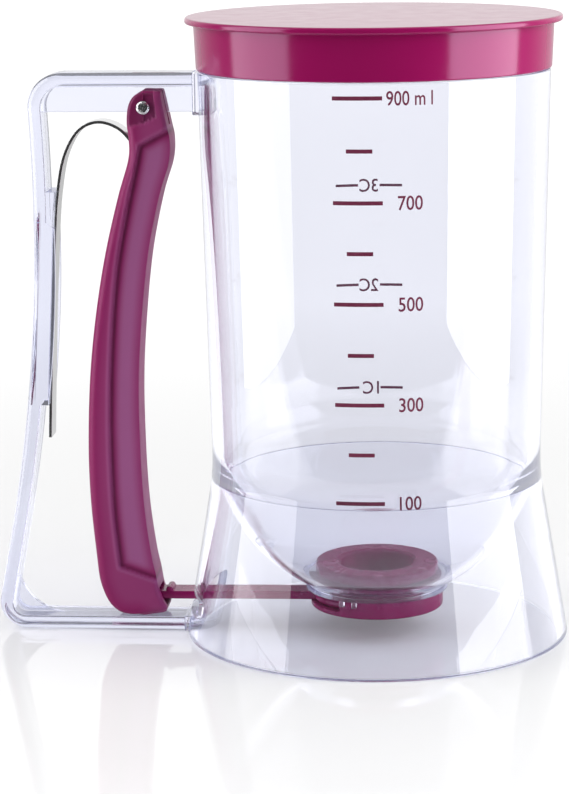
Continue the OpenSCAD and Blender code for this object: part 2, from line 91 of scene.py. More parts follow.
def throughPoints(points, steps):
    # Catmull-Rom curve: cubic stretches, whose slope at a point is half the step between its neighbours
    p = np.array(points, float)
    before, after = np.vstack([p[:1], p[:-1]])[:-1], np.vstack([p[1:], p[-1:]])[1:]
    a, b = p[:-1], p[1:]
    t = (np.arange(steps) / steps)[None, :, None]
    w, x, y, z = before[:, None], a[:, None], b[:, None], after[:, None]
    curve = 0.5 * (2 * x + (y - w) * t + (2 * w - 5 * x + 4 * y - z) * t**2 + (3 * x - w - 3 * y + z) * t**3)
    return np.vstack([curve.reshape(-1, p.shape[1]), p[-1:]])


def spacedOut(path, near=0.3, step=9.0, longRun=3):
    # A long straight of a closed outline gets a point close to each end and more between them, so that
    # smooth shading turns only at the corners and the view through clear walls stays true.
    ends = np.roll(path, -1, 0)
    made = []
    for a, b, run in zip(path, ends, np.linalg.norm(ends - path, axis=1)):
        made.append(a[None])
        if run > longRun:
            inner = np.linspace(0, 1, int(run / step) + 2)[1:-1]
            t = np.concatenate([[near / run], inner, [1 - near / run]])
            made.append(a + (b - a) * t[:, None])
    return np.concatenate(made)


def normalsOf(line):
    # unit normal to the left of the way the line runs
    along = np.gradient(line, axis=0)
    along /= np.linalg.norm(along, axis=1, keepdims=True)
    return np.stack([-along[:, 1], along[:, 0]], -1)


def insideDepth(points, outline):
    # Distance from each point to the outline, counted positive inside it: the shortest distance to any side,
    # with the sign from the number of sides that a level line crosses.
    a, b = outline, np.roll(outline, -1, 0)
    side = b - a
    rel = points[:, None] - a[None]
    t = np.clip((rel * side).sum(-1) / (side * side).sum(-1), 0, 1)
    away = np.linalg.norm(rel - t[..., None] * side, axis=-1).min(1)
    py, px = points[:, None, 1], points[:, None, 0]
    spans = (a[:, 1] > py) != (b[:, 1] > py)
    height = np.where(np.abs(side[:, 1]) < 1e-9, 1e-9, side[:, 1])
    crossings = (spans & (px < a[:, 0] + (py - a[:, 1]) * side[:, 0] / height)).sum(1)
    return np.where(crossings % 2 == 1, away, -away)


def smoothStep(t):
    t = np.clip(t, 0, 1)
    return t * t * (3 - 2 * t)


# meshes made from those arrays

def addObject(name, data):
    made = bpy.data.objects.new(name, data)
    bpy.context.scene.collection.objects.link(made)
    return made


def solidFrom(name, rings, loop=False):
    # Rings of points (row, point, xyz) are joined by four-sided faces. loop joins the last ring to the
    # first, otherwise a flat face closes each end.
    rows, count = rings.shape[:2]
    i, j = np.meshgrid(np.arange(rows if loop else rows - 1), np.arange(count), indexing="ij")
    row, nextRow, nextPoint = i * count, (i + 1) % rows * count, (j + 1) % count
    quads = np.stack([row + j, nextRow + j, nextRow + nextPoint, row + nextPoint], -1)
    faces = quads.reshape(-1, 4).tolist()
    if not loop:
        faces += [list(range(count)), list(range((rows - 1) * count, rows * count))]
    mesh = bpy.data.meshes.new(name)
    mesh.from_pydata((rings.reshape(-1, 3) * mm).tolist(), [], faces)
    clean(mesh)
    return addObject(name, mesh)


def clean(mesh):
    # merge doubles, drop collapsed faces and turn every face outwards
    work = bmesh.new()
    work.from_mesh(mesh)
    bmesh.ops.remove_doubles(work, verts=work.verts, dist=mergeDist)
    bmesh.ops.dissolve_degenerate(work, edges=work.edges, dist=collapseDist)
    bmesh.ops.recalc_face_normals(work, faces=work.faces)
    work.to_mesh(mesh)
    work.free()


def verticesOf(mesh):
    points = np.empty(len(mesh.vertices) * 3, np.float32)
    mesh.vertices.foreach_get("co", points)
    return points.reshape(-1, 3) / mm


def placeVertices(mesh, points):
    mesh.vertices.foreach_set("co", (points * mm).astype(np.float32).ravel())
    mesh.update()


def turned(name, profile, segments=192):
    # A closed profile of (radius, height) is carried round the Z axis.
    profile = spacedOut(profile)
    angle = np.linspace(0, 2 * np.pi, segments, endpoint=False)
    radius, height = profile[:, 0], profile[:, 1]
    rings = np.stack([radius * np.cos(angle)[:, None], radius * np.sin(angle)[:, None],
                      np.broadcast_to(height, (segments, len(height)))], -1)
    return solidFrom(name, rings, loop=True)


def carried(name, line, normal, section):
    # a closed section, as (across, along the normal), is carried along a line in X and Z
    flat = line[:, None] + section[None, :, 1:] * normal[:, None]
    across = np.broadcast_to(section[:, 0], flat.shape[:2])
    return solidFrom(name, np.stack([flat[..., 0], across, flat[..., 1]], -1))


def roundedBox(name, low, high, radius, steps=4):
    # A ball's points, pushed apart to the eight corners: corner centre plus radius times direction.
    low, high = np.array(low, float), np.array(high, float)
    quarter = (np.arange(steps) + 0.5) / steps * 90
    around = np.radians(np.concatenate([quarter + 90 * k for k in range(4)]))
    up = np.radians(np.concatenate([quarter - 90, quarter]))
    level, turn = np.meshgrid(up, around, indexing="ij")
    ball = np.stack([np.cos(level) * np.cos(turn), np.cos(level) * np.sin(turn), np.sin(level)], -1)
    stretch = 1 / np.cos(np.radians(45 / steps))  # puts the flats on the box's own faces
    half = (high - low) / 2 - radius
    corner = (low + high) / 2 + np.sign(ball) * half
    return solidFrom(name, corner + np.clip(ball * stretch, -1, 1) * radius)


def sidePlate(name, outline, width, y=0.0, edge=0.3):
    # An outline in X and Z gets a width along Y. Its edges are rounded by shrinking the outline, by the
    # edge's size at each face and by a part of that a little deeper.
    outline, part = np.array(outline, float), 0.3
    shrink = np.array([edge, edge * part, 0, 0, edge * part, edge])
    place = np.array([-1, -1, -1, 1, 1, 1]) * width / 2 + np.array([0, part, 1, -1, -part, 0]) * edge
    area = np.cross(outline, np.roll(outline, -1, 0)).sum()
    before, after = outline - np.roll(outline, 1, 0), np.roll(outline, -1, 0) - outline
    before /= np.linalg.norm(before, axis=1, keepdims=True)
    after /= np.linalg.norm(after, axis=1, keepdims=True)
    inward = np.stack([-(before + after)[:, 1], (before + after)[:, 0]], -1) * np.sign(area)
    tightest = 0.3  # keeps very sharp corners from running far inwards
    inward /= np.maximum((inward * inward).sum(1, keepdims=True) / 2, tightest)
    flat = outline[None] + shrink[:, None, None] * inward[None]
    across = np.broadcast_to(y + place[:, None], flat.shape[:2])
    return solidFrom(name, np.stack([flat[..., 0], across, flat[..., 1]], -1))


def combine(piece, tools, operation):
    # a boolean with each tool in turn, whose result is kept as the piece's own mesh
    for tool in tools:
        step = piece.modifiers.new("combine", "BOOLEAN")
        step.operation, step.object, step.solver = operation, tool, "EXACT"
        bpy.context.view_layer.update()
        made = bpy.data.meshes.new_from_object(piece.evaluated_get(bpy.context.evaluated_depsgraph_get()))
        made.name = piece.name
        piece.modifiers.clear()
        piece.data = made
        bpy.data.objects.remove(tool)


def joinSolids(piece, tools):
    combine(piece, tools, "UNION")


def cutAway(piece, tools):
    combine(piece, tools, "DIFFERENCE")


def finishPiece(piece, body, finish, stands=(), sharp=32, flatFirst=False):
    # smooth shading with hard edges, a finish, and the body and nodes that the piece belongs to
    clean(piece.data)
    piece.data.shade_smooth()
    piece.data.set_sharp_from_angle(angle=math.radians(sharp))
    if flatFirst:  # large flat faces keep their own direction, so that clear ones don't bend the view
        level = piece.modifiers.new("flatFirst", "WEIGHTED_NORMAL")
        level.keep_sharp, level.weight = True, 100
    piece.data.materials.clear()
    piece.data.materials.append(finish)
    if body:
        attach(piece, body)
    if stands:
        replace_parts(piece, *stands)
    print("piece", piece.name, len(piece.data.polygons), "faces")
    return piece


# building blocks of the finishes; depths of relief are in metres

def newFinish(name):
    finish = bpy.data.materials.new(name)
    finish.use_nodes = True
    tree = finish.node_tree
    return finish, tree, tree.nodes["Principled BSDF"]


def addNode(tree, kind, **values):
    node = tree.nodes.new(kind)
    for key, value in values.items():
        if key in node.inputs:
            node.inputs[key].default_value = value
        else:
            setattr(node, key, value)
    return node


def noiseField(tree, scale, stretch=(1, 1, 1), detail=4.0):
    # noise over the piece's own Object coordinates, stretched per axis
    place = tree.nodes.new("ShaderNodeTexCoord")
    mapping = addNode(tree, "ShaderNodeMapping", Scale=stretch)
    noise = addNode(tree, "ShaderNodeTexNoise", Scale=scale, Detail=detail)
    tree.links.new(place.outputs["Object"], mapping.inputs["Vector"])
    tree.links.new(mapping.outputs["Vector"], noise.inputs["Vector"])
    return noise.outputs["Fac"]


def between(tree, field, low, high, lowIn=0.3, highIn=0.7):
    ramp = {"From Min": lowIn, "From Max": highIn, "To Min": low, "To Max": high}
    spread = addNode(tree, "ShaderNodeMapRange", **ramp)
    tree.links.new(field, spread.inputs["Value"])
    return spread.outputs["Result"]


def mixOf(tree, field, first, second):
    # a mix of two colours or two values, each given plainly or as a socket
    mix = tree.nodes.new("ShaderNodeMix")
    if isinstance(first, tuple) or isinstance(second, tuple):
        mix.data_type = "RGBA"
    for key, given in (("A", first), ("B", second)):
        if isinstance(given, (tuple, float)):
            mix.inputs[key].default_value = (*given, 1) if isinstance(given, tuple) else given
        else:
            tree.links.new(given, mix.inputs[key])
    tree.links.new(field, mix.inputs["Factor"])
    return mix.outputs["Result"]


def mathOf(tree, operation, first, second):
    # a math node on two values, each a number or a socket
    node = addNode(tree, "ShaderNodeMath", operation=operation)
    for place, given in enumerate((first, second)):
        if isinstance(given, float):
            node.inputs[place].default_value = given
        else:
            tree.links.new(given, node.inputs[place])
    return node.outputs[0]


def relief(tree, shader, field, depth):
    bump = addNode(tree, "ShaderNodeBump", Strength=1.0, Distance=depth)
    tree.links.new(field, bump.inputs["Height"])
    tree.links.new(bump.outputs["Normal"], shader.inputs["Normal"])


clearFinish = {"tint": (0.955, 0.96, 0.99), "tintThick": (0.93, 0.935, 0.982), "driftScale": 9.0,
               "ior": 1.5, "roughness": (0.0, 0.02), "polishScale": 60.0, "flowScale": 22.0,
               "flowDepth": 0.00002, "depthColour": (0.38, 0.42, 0.82), "density": 10.0,
               "shadow": (0.92, 0.925, 0.96), "paintedGlow": 0.05, "paintedGlowFrom": 2.5, "paintedGlowScale": 1000.0}


def clearPlastic(name, settings=clearFinish):
    # moulded clear plastic: a faint tint that drifts, a cool cast that grows with the depth looked through,
    # a polish that varies, faint flow waves and a painted glow deep in the walls; lamps shine through it and
    # leave a light shadow
    finish, tree, shader = newFinish(name)
    drift = noiseField(tree, settings["driftScale"], (1, 1, 0.4), 2.0)
    shade = mixOf(tree, drift, settings["tint"], settings["tintThick"])
    tree.links.new(shade, shader.inputs["Base Color"])
    polish = noiseField(tree, settings["polishScale"], (1, 1, 0.5))
    tree.links.new(between(tree, polish, *settings["roughness"]), shader.inputs["Roughness"])
    relief(tree, shader, noiseField(tree, settings["flowScale"], (1, 1, 0.3), 1.0), settings["flowDepth"])
    shader.inputs["Transmission Weight"].default_value = 1.0
    shader.inputs["IOR"].default_value = settings["ior"]
    # Light led a long way inside a wall picks up a little painted glow: emission that stands in for the
    # light that haze scatters in real plastic. It is scaled up and down again, so that its last factor alone
    # is next to nothing.
    path = tree.nodes.new("ShaderNodeLightPath")
    deep = mathOf(tree, "GREATER_THAN", path.outputs["Glossy Depth"], settings["paintedGlowFrom"])
    raised = mathOf(tree, "MULTIPLY", deep, settings["paintedGlowScale"])
    paintedGlow = mathOf(tree, "MULTIPLY", raised, settings["paintedGlow"] / settings["paintedGlowScale"])
    shader.inputs["Emission Color"].default_value = (*settings["tint"], 1)
    tree.links.new(paintedGlow, shader.inputs["Emission Strength"])
    cast = addNode(tree, "ShaderNodeVolumeAbsorption", Density=settings["density"])
    cast.inputs["Color"].default_value = (*settings["depthColour"], 1)
    tree.links.new(cast.outputs["Volume"], tree.nodes["Material Output"].inputs["Volume"])
    through = addNode(tree, "ShaderNodeBsdfTransparent", Color=(*settings["shadow"], 1))
    pick = tree.nodes.new("ShaderNodeMixShader")
    tree.links.new(path.outputs["Is Shadow Ray"], pick.inputs[0])
    tree.links.new(shader.outputs["BSDF"], pick.inputs[1])
    tree.links.new(through.outputs["BSDF"], pick.inputs[2])
    tree.links.new(pick.outputs[0], tree.nodes["Material Output"].inputs["Surface"])
    return finish


plumFinish = {"driftScale": 30.0, "glossScale": 140.0, "peelScale": 900.0, "ior": 1.5,
              "gloss": (0.95, 0.70, 1.0)}


def plumPlastic(name, colour, deep, roughness, peel=0.000004, specular=0.5, marks=()):
    # coloured moulded plastic: colour that drifts a little, uneven gloss and a fine orange peel; marks are
    # colours that the mesh's own attributes bring in, such as painted sheen and painted shade
    finish, tree, shader = newFinish(name)
    shade = mixOf(tree, noiseField(tree, plumFinish["driftScale"], detail=3.0), colour, deep)
    for attribute, tone in marks:
        cover = addNode(tree, "ShaderNodeAttribute", attribute_name=attribute).outputs["Fac"]
        shade = mixOf(tree, cover, shade, tone)
    tree.links.new(shade, shader.inputs["Base Color"])
    polish = noiseField(tree, plumFinish["glossScale"])
    tree.links.new(between(tree, polish, *roughness), shader.inputs["Roughness"])
    relief(tree, shader, noiseField(tree, plumFinish["peelScale"], detail=2.0), peel)
    shader.inputs["IOR"].default_value = plumFinish["ior"]
    shader.inputs["Specular IOR Level"].default_value = specular
    shader.inputs["Specular Tint"].default_value = (*plumFinish["gloss"], 1)
    return finish


def brushedSteel(name, colour, roughness, stretch, depth=0.000004, darker=0.72):
    # steel with fine scratches, which run across the axis that is scaled most
    finish, tree, shader = newFinish(name)
    grain = noiseField(tree, 1.0, stretch, 6.0)
    shade = mixOf(tree, grain, colour, tuple(darker * c for c in colour))
    tree.links.new(shade, shader.inputs["Base Color"])
    tree.links.new(between(tree, grain, *roughness), shader.inputs["Roughness"])
    relief(tree, shader, grain, depth)
    shader.inputs["Metallic"].default_value = 1.0
    return finish


inkFinish = {"coverScale": 700.0, "paler": (1.35, 0.01), "roughness": (0.4, 0.6), "relief": 0.000003}


def printInk(name, colour):
    # screen-printed ink: flat colour with slightly uneven cover
    finish, tree, shader = newFinish(name)
    cover = noiseField(tree, inkFinish["coverScale"], detail=3.0)
    times, plus = inkFinish["paler"]
    thin = tuple(min(1, times * c + plus) for c in colour)
    tree.links.new(mixOf(tree, cover, colour, thin), shader.inputs["Base Color"])
    tree.links.new(between(tree, cover, *inkFinish["roughness"]), shader.inputs["Roughness"])
    relief(tree, shader, cover, inkFinish["relief"])
    return finish


frameFinish = dict(clearFinish, tint=(0.86, 0.872, 0.957), tintThick=(0.83, 0.845, 0.945))
# painted light on the lever: a pale painted sheen and a dark painted shade, brought in by mesh attributes
leverPaintedLight = (("paintedSheen", (0.26, 0.072, 0.185)), ("paintedShade", (0.08, 0.003, 0.033)))
jugPlastic = clearPlastic("clearJugPlastic")
framePlastic = clearPlastic("clearFramePlastic", frameFinish)
lidPlastic = plumPlastic("lidPlum", (0.235, 0.003, 0.072), (0.225, 0.003, 0.068), (0.13, 0.16), 0.000001)
leverPlastic = plumPlastic("leverPlum", (0.205, 0.006, 0.078), (0.19, 0.006, 0.072), (0.40, 0.48),
                           specular=0.35, marks=leverPaintedLight)
valvePlastic = plumPlastic("valvePlum", (0.185, 0.004, 0.066), (0.175, 0.004, 0.06), (0.2, 0.3))
springSteel = brushedSteel("springSteel", (0.80, 0.80, 0.81), (0.10, 0.16), (40, 3000, 40))
screwSteel = brushedSteel("screwPlating", (0.66, 0.66, 0.68), (0.16, 0.3), (900, 900, 900), 0.0004)
scaleInk = printInk("scaleInk", (0.11, 0.003, 0.032))
print("finishes made")

# a pad's pair says how far it stands out and how long it is
jug = {"footR": 57.6, "footWall": 3.0, "waistR": 49.1, "waistZ": 50.0, "waistFillet": 64.0,
       "skirtWall": 2.3, "topR": 51.8, "ledgeZ": 169.9, "collarH": 13.5, "wall": 3.1, "waistWall": 3.2,
       "bowlWall": 1.6, "floorZ": 17.8, "floorT": 4.8, "floorFlatR": 22.7, "bossR": 21.5, "holeR": 14.05,
       "slotSide": 3.3, "slotUnder": 2.2, "slotOver": 0.9, "slotCorner": 1.8, "slotIn": 40.0,
       "padWider": 1.2, "padHigher": 0.6, "padEdge": 0.5, "upperPad": (1.2, 3.2), "footPad": (0.6, 2.4),
       "segments": 224}
# how far the lid's skirt stands out past the body, its wall, and the gap inside it
lidRoom = {"out": 0.3, "wall": 1.7, "gap": 0.25}
bodySlope = (jug["topR"] - jug["waistR"]) / (jug["ledgeZ"] - jug["waistZ"])
collarR = jug["topR"] + lidRoom["out"] - lidRoom["wall"] - lidRoom["gap"]
rimZ = jug["ledgeZ"] + jug["collarH"]
bossZ = jug["floorZ"] - jug["floorT"]


def bodyR(z):
    return jug["waistR"] + bodySlope * (z - jug["waistZ"])


def jugProfile():
    # closed outline of the wall: skirt, waist fillet, body, rim, inside, bowl, floor, boss, and back along
    # the bowl's underside and the skirt's inside
    coneLean = math.atan((jug["footR"] - jug["waistR"]) / jug["waistZ"])
    bodyLean = math.atan(bodySlope)
    reach = jug["waistFillet"] / math.cos((coneLean + bodyLean) / 2)
    middle = (coneLean - bodyLean) / 2
    fillet = (jug["waistR"] + reach * math.cos(middle), jug["waistZ"] + reach * math.sin(middle))
    waist = arcPoints(fillet, jug["waistFillet"], 180 + math.degrees(coneLean),
                      180 - math.degrees(bodyLean), 15)
    ballR = math.sqrt((jug["waistR"] - jug["waistWall"])**2 - jug["floorFlatR"]**2)
    innerR = bodyR(jug["floorZ"] + ballR) - jug["waistWall"]
    innerZ = jug["floorZ"] + math.sqrt(innerR**2 - jug["floorFlatR"]**2)
    outerR, outerZ = innerR + jug["bowlWall"], innerZ
    innerEnd = math.degrees(math.asin((jug["floorZ"] - innerZ) / innerR))
    inner = arcPoints((0, innerZ), innerR, 0, innerEnd, 44)
    # where the bowl's outside meets the skirt's inside, a line r = footIn - fall * z
    footIn = jug["footR"] - jug["footWall"]
    fall = (footIn - jug["waistR"] + jug["skirtWall"]) / jug["waistZ"]
    a, b, c = 1 + fall**2, -2 * (outerZ + footIn * fall), footIn**2 + outerZ**2 - outerR**2
    meetZ = (-b - math.sqrt(b * b - 4 * a * c)) / (2 * a)
    meet = (footIn - fall * meetZ, meetZ)
    bossEnd = math.degrees(math.asin(-math.sqrt(outerR**2 - jug["bossR"]**2) / outerR))
    skirtEnd = math.degrees(math.asin((meetZ - outerZ) / outerR))
    outer = arcPoints((0, outerZ), outerR, bossEnd, skirtEnd, 40)
    mouthR = jug["topR"] - jug["wall"]
    bodyLevels = np.linspace(waist[-1][1], jug["ledgeZ"], 12)[1:-1]
    corners = [(jug["footR"], 0, 0.6)]
    corners += [(r, z, 0) for r, z in waist]
    corners += [(bodyR(z), z, 0) for z in bodyLevels]
    corners += [(jug["topR"], jug["ledgeZ"], 0.4), (collarR, jug["ledgeZ"], 0.3), (collarR, rimZ, 0.7),
                (mouthR, rimZ, 0.7), (mouthR, jug["ledgeZ"], 3.0)]
    corners += [(innerR + (mouthR - innerR) * t, innerZ + (jug["ledgeZ"] - innerZ) * t, 0)
                for t in np.linspace(0.92, 0.08, 10)]
    corners += [(r, z, 0) for r, z in inner[:-1]]
    corners += [(*inner[-1], 0.5), (jug["holeR"], jug["floorZ"], 0.2), (jug["holeR"], bossZ, 0.2),
                (jug["bossR"], bossZ, 0.5), (*outer[0], 0.6)]
    corners += [(r, z, 0) for r, z in outer[1:-1]]
    corners += [(*meet, 0.3), (footIn, 0, 0.6)]
    return roundCorners(corners)


def bayonetParts(name, angles, radii, low, high):
    # small blocks at given angles in degrees, on two opposite sides of the outlet
    half, made = valve["lugW"] / 2, []
    for side in (0, 180):
        for angle in angles:
            block = roundedBox(name, (radii[0], -half, low), (radii[1], half, high), 0.25, 2)
            block.rotation_euler.z = math.radians(angle + side)
            made.append(block)
    return made


def makeJug():
    piece = turned("jugShell", jugProfile(), jug["segments"])
    side, top, edge = (handle["width"] + jug["padWider"]) / 2, handle["top"], jug["padEdge"]
    upperLow, footHigh = top - (handle["webH"] + jug["padHigher"]), handle["thick"] + jug["padHigher"]
    joinSolids(piece, [
        roundedBox("upperPad", (-padX, -side, upperLow), (-padX + jug["upperPad"][1], side, top), edge),
        roundedBox("footPad", (-footPadX, -side, 0), (-footPadX + jug["footPad"][1], side, footHigh), edge)
    ])
    half, r = valve["gateR"] + jug["slotSide"], jug["slotCorner"]
    low, high = valve["rodZ"] - jug["slotUnder"], valve["rodZ"] + valve["rodT"] + jug["slotOver"]
    slot = roundCorners([(-half, low, r), (half, low, r), (half, high, r), (-half, high, r)], steps=8)
    ends, shape = np.array([-jug["footR"] - 2, -jug["slotIn"]]), (2, len(slot))
    rings = np.stack([np.broadcast_to(ends[:, None], shape), np.broadcast_to(slot[:, 0], shape),
                      np.broadcast_to(slot[:, 1], shape)], -1)
    cutAway(piece, [solidFrom("rodSlot", rings)])
    radii = (valve["housingR"] + 0.15, jug["bossR"] - 0.2)
    joinSolids(piece, bayonetParts("lug", valve["lugAngles"], radii, bossZ - valve["lugH"], bossZ + 0.6))
    return finishPiece(piece, "jug", jugPlastic, ("jug",), flatFirst=True)


handle = {"width": 12.2, "thick": 4.2, "top": 169.2, "gripX": 102.2, "lean": 3.3, "sweepR": 516.0,
          "sweep": 10.9, "topR": 10.3, "lowR": 8.0, "edge": 2.0, "innerEdge": 0.6, "webT": 2.0, "webH": 12.0,
          "earR": 4.4, "gussetR": 15.0, "seatFoot": 68.0, "padGap": 0.05, "sunk": 0.6}
# side view of the pivot, lever and spring: points are in millimetres from the pivot
pivot = {"x": 67.4, "z": 159.1, "screwR": 1.5, "headR": 2.0}
springStrip = {"width": 8.0, "thick": 0.9, "edge": 0.1, "gap": 0.15, "ribH": 1.45, "ribEase": (3.9, 4.8),
               "ribGap": 1}
springPath = [(-0.2, -16.5), (-2.2, -13.4), (-4.5, -9.9), (-8, -6.4), (-13, -4.6), (-17.6, -5.5),
              (-21.3, -8.7), (-24.6, -15.5), (-26.5, -25.1), (-27.6, -36.1), (-28.5, -53.1), (-29.5, -71.1),
              (-30.3, -87.1), (-30.8, -99.7)]
padX = bodyR(handle["top"]) + jug["upperPad"][0]
footPadX = jug["footR"] + jug["footPad"][0]


def fromPivot(points):
    return np.array(points, float) + np.array([-pivot["x"], pivot["z"]])


def handlePath():
    # Outer edge of the band in X and Z with its inward normal: straight, upper corner, long curve, straight,
    # lower corner, straight. Each arc is centre plus radius times the turning direction.
    lean, sweep, gap = math.radians(handle["lean"]), math.radians(handle["sweep"]), handle["padGap"]
    cornerEnd = handle["top"] - handle["topR"] * (1 + math.sin(lean))
    drop = handle["sweepR"] * (math.sin(lean) + math.sin(sweep))
    out = handle["sweepR"] * (math.cos(lean) - math.cos(sweep)) - handle["topR"] * (1 - math.cos(lean))
    slant = (cornerEnd - drop - handle["lowR"] * (1 + math.sin(sweep))) / math.cos(sweep)
    lowX = handle["gripX"] + out + slant * math.sin(sweep) - handle["lowR"] * math.cos(sweep)
    steps = [(handle["gripX"] - handle["topR"] - padX - gap, 0, 0), (0, 90 + handle["lean"], handle["topR"]),
             (0, -handle["lean"] - handle["sweep"], handle["sweepR"]), (slant, 0, 0),
             (0, 90 + handle["sweep"], handle["lowR"]), (lowX - footPadX - gap, 0, 0)]
    place, heading = np.array([-padX - gap, handle["top"]]), 180.0
    points, headings = [], []
    for run, turn, radius in steps:
        count = 12 if turn == 0 else max(int(abs(turn) / 4), int(radius * abs(math.radians(turn)) / 3))
        t = np.arange(count) / count
        if turn == 0:
            way = np.array([math.cos(math.radians(heading)), math.sin(math.radians(heading))])
            points.append(place + way * run * t[:, None])
            headings.append(np.full(count, heading))
            place = place + way * run
            continue
        side = math.copysign(radius, turn)
        centre = place + side * np.array([-math.sin(math.radians(heading)), math.cos(math.radians(heading))])
        a = np.radians(heading + turn * t)
        points.append(centre - side * np.stack([-np.sin(a), np.cos(a)], -1))
        headings.append(heading + turn * t)
        heading += turn
        end = math.radians(heading)
        place = centre - side * np.array([-math.sin(end), math.cos(end)])
    points.append(place[None])
    headings.append(np.array([heading]))
    a = np.radians(np.concatenate(headings))
    return np.concatenate(points), np.stack([-np.sin(a), np.cos(a)], -1), lowX


def makeHandleFrame():
    edge, inner, sunk = handle["edge"], handle["innerEdge"], handle["sunk"]
    half, thick = handle["width"] / 2, handle["thick"]
    corners = [(-half, 0, edge), (half, 0, edge), (half, thick, inner), (-half, thick, inner)]
    section = spacedOut(roundCorners(corners, steps=7))
    line, inward, lowX = handlePath()
    piece = carried("handleFrame", line, inward, section)
    webLeft, webRight = -handle["gripX"] + thick - sunk, -padX - handle["padGap"]
    webLow, webHigh = handle["top"] - handle["webH"], handle["top"] - thick + sunk
    webCorners = [(webLeft, webLow), (webRight, webLow), (webRight, webHigh), (webLeft, webHigh)]
    web = sidePlate("upperWeb", webCorners, handle["webT"])
    earLine = arcPoints((-pivot["x"], pivot["z"]), handle["earR"], 0, 351, 40)
    ear = sidePlate("ear", earLine, handle["webT"] - 0.02)
    cornerX, cornerZ, gusset = -lowX - handle["lowR"] + thick + 1, thick, handle["gussetR"]
    hollow = arcPoints((cornerX + gusset, cornerZ + gusset), gusset, 180, 270, 24)
    gussetLine = np.vstack([[(cornerX - 2, cornerZ - sunk), (cornerX - 2, cornerZ + gusset)], hollow,
                            [(cornerX + gusset, cornerZ - sunk)]])
    filletWeb = sidePlate("filletWeb", gussetLine, handle["webT"], edge=0.2)
    # seat of the spring's free end, with a rib on each side
    lowSpring = throughPoints(fromPivot(springPath)[8:14], 6)
    wholeSeat = lowSpring - (springStrip["thick"] / 2 + springStrip["gap"]) * normalsOf(lowSpring)
    seat = wholeSeat[wholeSeat[:, 1] > handle["seatFoot"]]
    back, foot = -handle["gripX"] + thick / 2, -handle["gripX"] - thick / 3
    seatLine = np.vstack([[(back, seat[0][1])], seat, [(foot, seat[-1][1])]])
    seatPlate = sidePlate("springSeat", seatLine, handle["width"] - 0.4, edge=0.25)
    ribs = []
    crown = seat[6:]
    start, spread = springStrip["ribEase"]
    bulge = np.sin(np.pi * (np.arange(len(crown)) + start) / (len(crown) + spread))
    crest = crown + np.stack([springStrip["ribH"] * bulge, np.zeros(len(crown))], -1)
    ribLine = np.vstack([[(back, crown[0][1] + 4)], crest, [(foot, seat[-1][1])]])
    ribW = (handle["width"] - springStrip["width"] - springStrip["ribGap"]) / 2
    for side in (-1, 1):
        ribY = side * (handle["width"] + springStrip["width"] + springStrip["ribGap"]) / 4
        ribs.append(sidePlate("rib", ribLine, ribW, ribY, edge=0.25))
    joinSolids(piece, [web, ear, filletWeb, seatPlate, *ribs])
    bore = arcPoints((-pivot["x"], pivot["z"]), pivot["screwR"] + 0.06, 0, 352.5, 48)
    cutAway(piece, [sidePlate("bore", bore, handle["webT"] + 2, edge=0.0)])
    return finishPiece(piece, "jug", framePlastic, ("handle_frame",), flatFirst=True)


lid = {"overhang": 3.4, "thick": 1.8, "draft": 0.6, "seat": 0.2, "segments": 192}


def makeLid():
    # solid of revolution: skirt with a slight flare, and a disc that overhangs it
    skirtR = jug["topR"] + lidRoom["out"]
    inR = skirtR - lidRoom["wall"]
    low, disc = jug["ledgeZ"] + lid["seat"], rimZ + lid["seat"]
    discR, top = jug["topR"] + lid["overhang"], disc + lid["thick"]
    corners = [(0, disc, 0), (inR - 8, disc, 0), (inR, disc, 0.6), (inR, low, 0.4), (skirtR, low, 0.5),
               (skirtR + lid["draft"], disc, 0.5), (discR, disc, 0.5), (discR, top, 0.8),
               (discR - 6, top, 0), (discR * 0.6, top, 0), (discR * 0.3, top, 0), (0, top, 0)]
    piece = turned("lidCap", roundCorners(corners), lid["segments"])
    return finishPiece(piece, "lid", lidPlastic, ("lid",))


lever = {"width": 15.0, "backEdge": 2.4, "fingerEdge": 1.4, "taper": 1.1, "panelDepth": 0.95,
         "panelEdge": 0.8, "lip": 0.12, "slot": 2.1, "steps": 9, "seamHalf": 0.14, "seamOut": 0.3,
         "recessDepth": 0.6, "hookX": 65.2, "headWall": 1.9, "rodGap": 0.4, "rodSlotX": (2.9, 5),
         "pocketX": (5.3, 1.9), "pocketTop": 15.2, "capIn": 0.9, "capOut": 0.54}
# back and finger side of the lever's silhouette
leverRails = [(-0.8, 4.3, 5, 4.1), (-3.1, 3.1, 5.3, 2.4), (-4.7, 0.1, 5.8, -0.1), (-5.2, -4.6, 6.8, -5.1),
              (-4.7, -9.6, 7.7, -10.1), (-5, -15.6, 7.2, -16.6), (-8.3, -26.6, 4.1, -26.6),
              (-12.5, -43.6, 0.5, -43.6), (-15.8, -62.1, -1.8, -63.1), (-18, -81.1, -3.1, -82.1),
              (-19, -102.1, -3.1, -102.1), (-18.7, -119.1, -2.3, -120.1), (-17.3, -136.1, -0.5, -135.1),
              (-16.4, -143.8, 0.8, -141.7), (-14.2, -149.8, 1.6, -146.5), (-11.4, -152.9, 2.7, -149.5),
              (-8.4, -154, 3.8, -151.6), (-5, -154.1, 3.7, -152.8)]
panelBack = [(-1.3, -11.2), (-2.9, -18.8), (-6.1, -33), (-8.8, -47.4), (-10.6, -64.1), (-11.8, -83.1),
             (-12.2, -101.1), (-11.7, -121.1), (-10, -139.1)]
panelTop, panelBottom = (17.4, -1.2), (17.4, -148.7)
screwRecess = [(-8, -6.1), (-4, -5.5), (0.2, -4.4), (3.8, -2.6), (3, 5), (3, 8), (-8, 8)]


